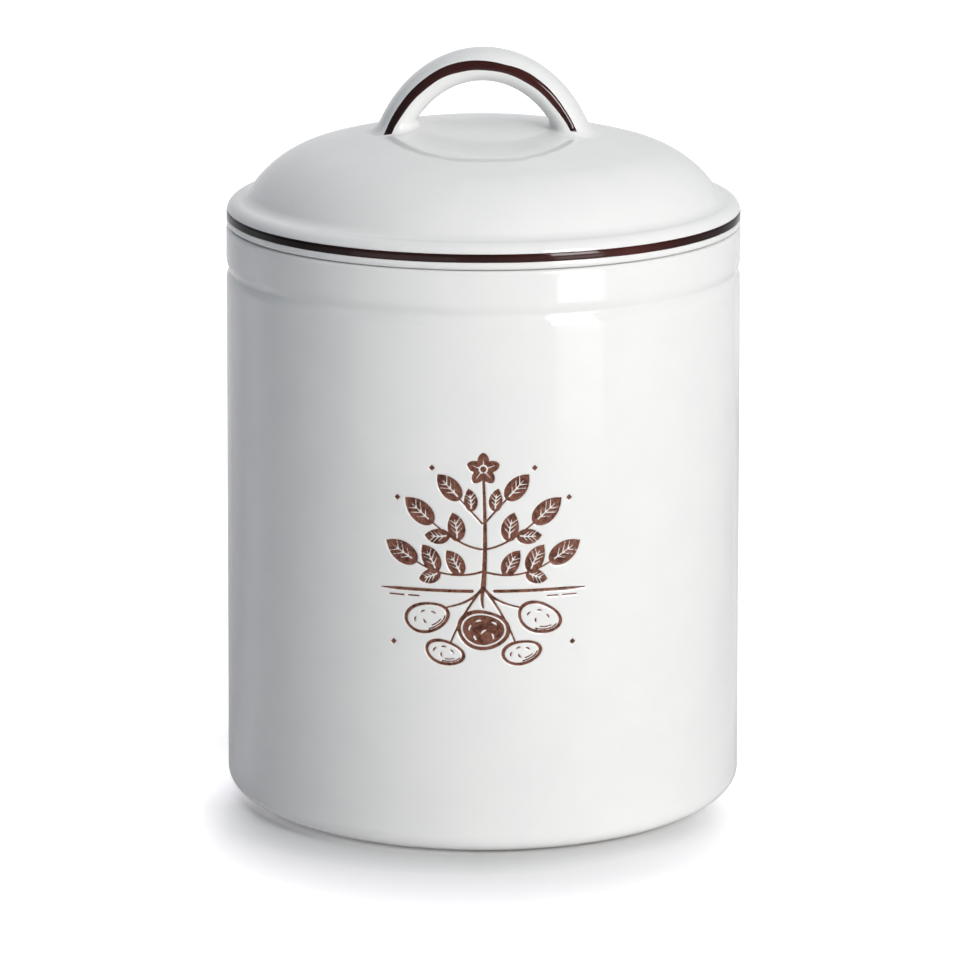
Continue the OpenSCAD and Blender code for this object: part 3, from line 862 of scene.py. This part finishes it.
for piece, body, replaced, slot in (
    (jar, "jar", "jar", "jar_glaze"),
    (lid, "lid", "lid", "lid_glaze"),
    (handle, "lid", "handle", "handle_glaze"),
    (edge_line, "lid", "edge_line", "brown_line"),
    (line_front, "lid", "handle_line_front", "brown_line"),
    (line_back, "lid", "handle_line_back", "brown_line"),
):
    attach(piece, body)
    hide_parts(replaced)


# Floor and background
def seen_rays(tree):
    """Shares that are 1 for rays from the camera, and for rays that glaze mirrors."""
    rays = node(tree, "ShaderNodeLightPath").outputs
    mirrored = math_node(tree, "MAXIMUM", rays["Is Glossy Ray"], rays["Is Transmission Ray"])
    return rays["Is Camera Ray"], mirrored


def camera_glow(tree, place, x, y, from_axis):
    """Strength of the floor's own light for the camera. Close to the base it fades, which keeps the
    lamps' shadow there and also paints a soft shadow of its own. The fade follows a circle in front of
    the base, and is wider along Y, as the low camera sees it."""
    centre, radius, widths, full = (-0.0029, -0.0573, 0.0), 0.1026, (0.0101, 0.0313, 1.0), 0.94
    shifted = vector_node(tree, "SUBTRACT", place, centre)
    r = vector_node(tree, "LENGTH", shifted)
    blur = vector_node(tree, "LENGTH", vector_node(tree, "MULTIPLY", shifted, widths))
    outside = math_node(tree, "SUBTRACT", r, radius)
    away = math_node(tree, "DIVIDE", product(tree, outside, r), blur)
    decay = math_node(tree, "EXPONENT", product(tree, away, -1.0))
    glow = math_node(tree, "DIVIDE", full, total(tree, decay, 1.0))
    # Painted light and shade round the base, each of which fades over a ring. The floor is painted
    # lighter on the right and behind, darker close to the base, and lighter again right at the contact,
    # and a painted soft shadow lies behind the object
    right = spread(tree, x, 0.0, 0.06, -0.035, 0.10)
    right = total(tree, right, spread(tree, y, -0.035, -0.010, 0.0, 0.15))
    close = spread(tree, x, -0.07, 0.0, -0.03, -0.12)
    contact = spread(tree, x, -0.06, 0.02, 0.21, 0.04)
    contact = product(tree, contact, spread(tree, x, -0.095, -0.083, 0.0, 1.0))
    rear = spread(tree, y, 0.02, 0.07, 0.0, -0.65)
    for change, inner, outer, smooth in (
        (right, 0.112, 0.130, True),
        (close, 0.103, 0.122, False),
        (contact, 0.0955, 0.0995, False),
        (rear, 0.100, 0.145, True),
    ):
        fade = spread(tree, from_axis, inner, outer, 1.0, 0.0, smooth)
        glow = math_node(tree, "MULTIPLY_ADD", change, fade, glow)
    return glow


def corner_glow(tree, x, from_axis):
    """Strength of a narrow ring of the floor's own light that lights the jar's rounded corner."""
    begins = spread(tree, from_axis, 0.0995, 0.1005, 0.0, 1.0)
    ends = spread(tree, from_axis, 0.104, 0.112, 1.0, 0.0)
    return product(tree, begins, ends, spread(tree, x, -0.08, 0.06, 0.07, 0.26))


def mirrored_glow(tree, x, y):
    """Strength of the floor's own light as glaze mirrors it. It is dimmer than for the camera, and
    brighter behind the object."""
    glow = spread(tree, y, -0.1, 0.7, 0.30, 0.68)
    # A strip beside the object on the right, which runs back and to the right
    beside = math_node(tree, "MULTIPLY_ADD", y, -0.45, x)
    along = total(tree, spread(tree, y, 0.1, 0.62, 0.32, -0.09), spread(tree, y, 0.62, 0.82, 0.0, 0.20))
    inner, outer = spread(tree, x, 0.06, 0.16, 0.0, 1.0), spread(tree, beside, 0.08, 0.20, 1.0, 0.0)
    right = product(tree, inner, outer, along)
    # A paler ray on the left, from the object outwards and back
    across = math_node(tree, "DIVIDE", total(tree, product(tree, x, 0.6), y, 0.08), x)
    ray = spread(tree, math_node(tree, "ABSOLUTE", across), 0.0, 0.36, 0.32, 0.0)
    left = product(tree, ray, spread(tree, x, -0.14, -0.10, 1.0, 0.0))
    return total(tree, glow, right, left)


def pale_floor():
    """A pale matt material, which its own light makes white, and which keeps the object's shadow.
    Round the base it has painted shade and light, and glaze mirrors it darker than it is.
    """
    material, tree, shader = nodes_of("pale_floor")
    shader.inputs["Roughness"].default_value = 0.9
    shader.inputs["Specular IOR Level"].default_value = 0.0
    place = node(tree, "ShaderNodeTexCoord").outputs["Object"]
    x, y, _ = parts_of(tree, place)
    from_axis = vector_node(tree, "LENGTH", place)
    seen, mirrored = seen_rays(tree)
    scattered = node(tree, "ShaderNodeLightPath").outputs["Is Diffuse Ray"]
    # For rays that glaze mirrors the floor's colour is dark: a painted darker reflection of the floor
    tree.links.new(mix(tree, mirrored, (0.8, 0.8, 0.8), (0.15, 0.15, 0.15)), shader.inputs["Base Color"])
    glow = total(
        tree,
        product(tree, seen, camera_glow(tree, place, x, y, from_axis)),
        product(tree, scattered, corner_glow(tree, x, from_axis)),
        product(tree, mirrored, mirrored_glow(tree, x, y)),
    )
    tree.links.new(glow, shader.inputs["Emission Strength"])
    shader.inputs["Emission Color"].default_value = (1.0, 0.98, 1.01, 1.0)
    return material


def stage_floor():
    """A flat round floor, with rings that get wider outwards."""
    radius, inner_r, rings, count = 2600.0, 60.0, 24, 96
    reach = np.concatenate([[0], np.geomspace(inner_r, radius, rings)])
    points, _, faces, _ = lathe(np.column_stack([reach, np.zeros(len(reach))]), count)
    floor = make_object("floor", points, [f[::-1] for f in faces])
    floor.data.materials.append(pale_floor())
    return floor


def set_world():
    """A cool fill on the surfaces, and white for the camera. Glaze mirrors white at the back only."""
    fill, white_at_back = (0.123, 0.141, 0.169), 0.72
    world = bpy.data.worlds.new("studio")
    bpy.context.scene.world = world
    world.use_nodes = True
    tree = world.node_tree
    direction = node(tree, "ShaderNodeTexCoord").outputs["Generated"]
    seen, mirrored = seen_rays(tree)
    back = spread(tree, parts_of(tree, direction)["Y"], 0.0, 0.9, 0.0, white_at_back, True)
    shown = math_node(tree, "MULTIPLY_ADD", mirrored, back, seen)
    tree.links.new(mix(tree, shown, fill, (1, 1, 1)), tree.nodes["Background"].inputs["Color"])


stage_floor()
set_world()


# Lamps
def area_light(name, place, aim, size, power, colour=(1, 1, 1), lit=True, mirrored=False):
    """A rectangle of light that faces a point. Places and sizes are in metres, and power is its
    brightness, where 1 is white. lit lamps light surfaces, mirrored ones show in the glaze."""
    lamp = bpy.data.lights.new(name, "AREA")
    lamp.shape = "RECTANGLE"
    lamp.size, lamp.size_y = size
    lamp.energy = power * math.pi * size[0] * size[1]
    lamp.color = colour
    obj = bpy.data.objects.new(name, lamp)
    obj.location = place
    obj.rotation_euler = (Vector(aim) - Vector(place)).to_track_quat("-Z", "Y").to_euler()
    obj.visible_camera, obj.visible_diffuse, obj.visible_glossy = False, lit, mirrored
    bpy.context.scene.collection.objects.link(obj)
    return obj


def softbox(name, azimuth, distance, low, high, width, power, colour=(1, 1, 1), lit=True):
    """A standing light. Azimuth is in degrees from the front towards +X. A lamp that doesn't light
    the surfaces shows in the glaze instead."""
    height = (low + high) / 2
    place = (distance * sind(azimuth), -distance * cosd(azimuth), height)
    return area_light(name, place, (0, 0, height), (width, high - low), power, colour, lit, not lit)


softbox("key", azimuth=35, distance=2.4, low=0.2, high=1.9, width=1.6, power=6.08,
        colour=(1.0, 0.985, 0.95))
area_light("top_fill", (0, 0, 2.4), (0, 0, 0), (2.0, 2.0), power=1.33, colour=(1.0, 0.985, 0.955))
area_light("back_fill", (0, 1.414, 1.885), (0, 0, 0.2), (1.6, 1.2), power=0.83, colour=(0.95, 0.97, 1.0))
# A low lamp behind lights the back of the object, and not the floor
back_wall = softbox("back_wall", azimuth=180, distance=1.2, low=0.01, high=0.36, width=0.5, power=9.5,
                    colour=(1.0, 0.98, 0.94))
pieces = bpy.data.collections.new("pieces")
for piece in (jar, lid, handle, edge_line, line_front, line_back):
    pieces.objects.link(piece)
back_wall.light_linking.receiver_collection = pieces
# The window shows on the right of the lid and of the handle. In front of it a column of narrow
# lamps shows as an upright streak on the jar, which fades downwards: (lower end in metres, power)
softbox("window", azimuth=39.2, distance=1.2, low=0.13, high=1.15, width=0.435, power=12.0, lit=False)
FADE_TOP = 0.130
FADE = ((0.105, 2.8), (0.099, 1.55), (0.092, 1.05), (0.084, 0.92), (0.074, 0.84), (0.065, 0.82),
        (0.057, 0.82), (0.049, 0.75), (0.041, 0.62), (0.032, 0.5), (0.022, 0.3), (0.010, 0.15))
high = FADE_TOP
for low, power in FADE:
    softbox(f"window_fade_{round(1000 * low)}", azimuth=40.2, distance=0.62, low=low, high=high,
            width=0.226, power=power, lit=False)
    high = low
# A faint, broad sheen left of the middle, from layers that get narrower
for width in (0.52, 0.38, 0.22):
    softbox(f"sheen_{round(100 * width)}", azimuth=-33, distance=0.62, low=0.03, high=0.18,
            width=width, power=0.40, lit=False)


# Camera
def set_camera():
    """The camera at the photograph's view: it is 2 m from a point on the object's axis and 13.9
    degrees above it, and its lens is given in pixels of the picture."""
    photo_w, sensor_w, lens_px = 960, 36, 5070.4
    distance, point_z, elevation = 2, 0.11, math.radians(13.9)
    pitch, yaw, roll = math.radians(13.520), math.radians(-0.0373), math.radians(0.06)
    forward = Vector((math.sin(yaw) * math.cos(pitch), math.cos(yaw) * math.cos(pitch), -math.sin(pitch)))
    right = Vector((math.cos(yaw), -math.sin(yaw), 0))
    up = right.cross(forward)
    right, up = right * math.cos(roll) + up * math.sin(roll), up * math.cos(roll) - right * math.sin(roll)
    camera = bpy.data.cameras.new("camera")
    camera.lens, camera.sensor_width = lens_px / photo_w * sensor_w, sensor_w
    camera.clip_start, camera.clip_end = 0.1, 20
    obj = bpy.data.objects.new("camera", camera)
    place = Vector((0, -distance * math.cos(elevation), point_z + distance * math.sin(elevation)))
    obj.matrix_world = Matrix.Translation(place) @ Matrix((right, up, -forward)).transposed().to_4x4()
    bpy.context.scene.collection.objects.link(obj)
    bpy.context.scene.camera = obj


set_camera()
bpy.context.scene.view_settings.view_transform = "Standard"
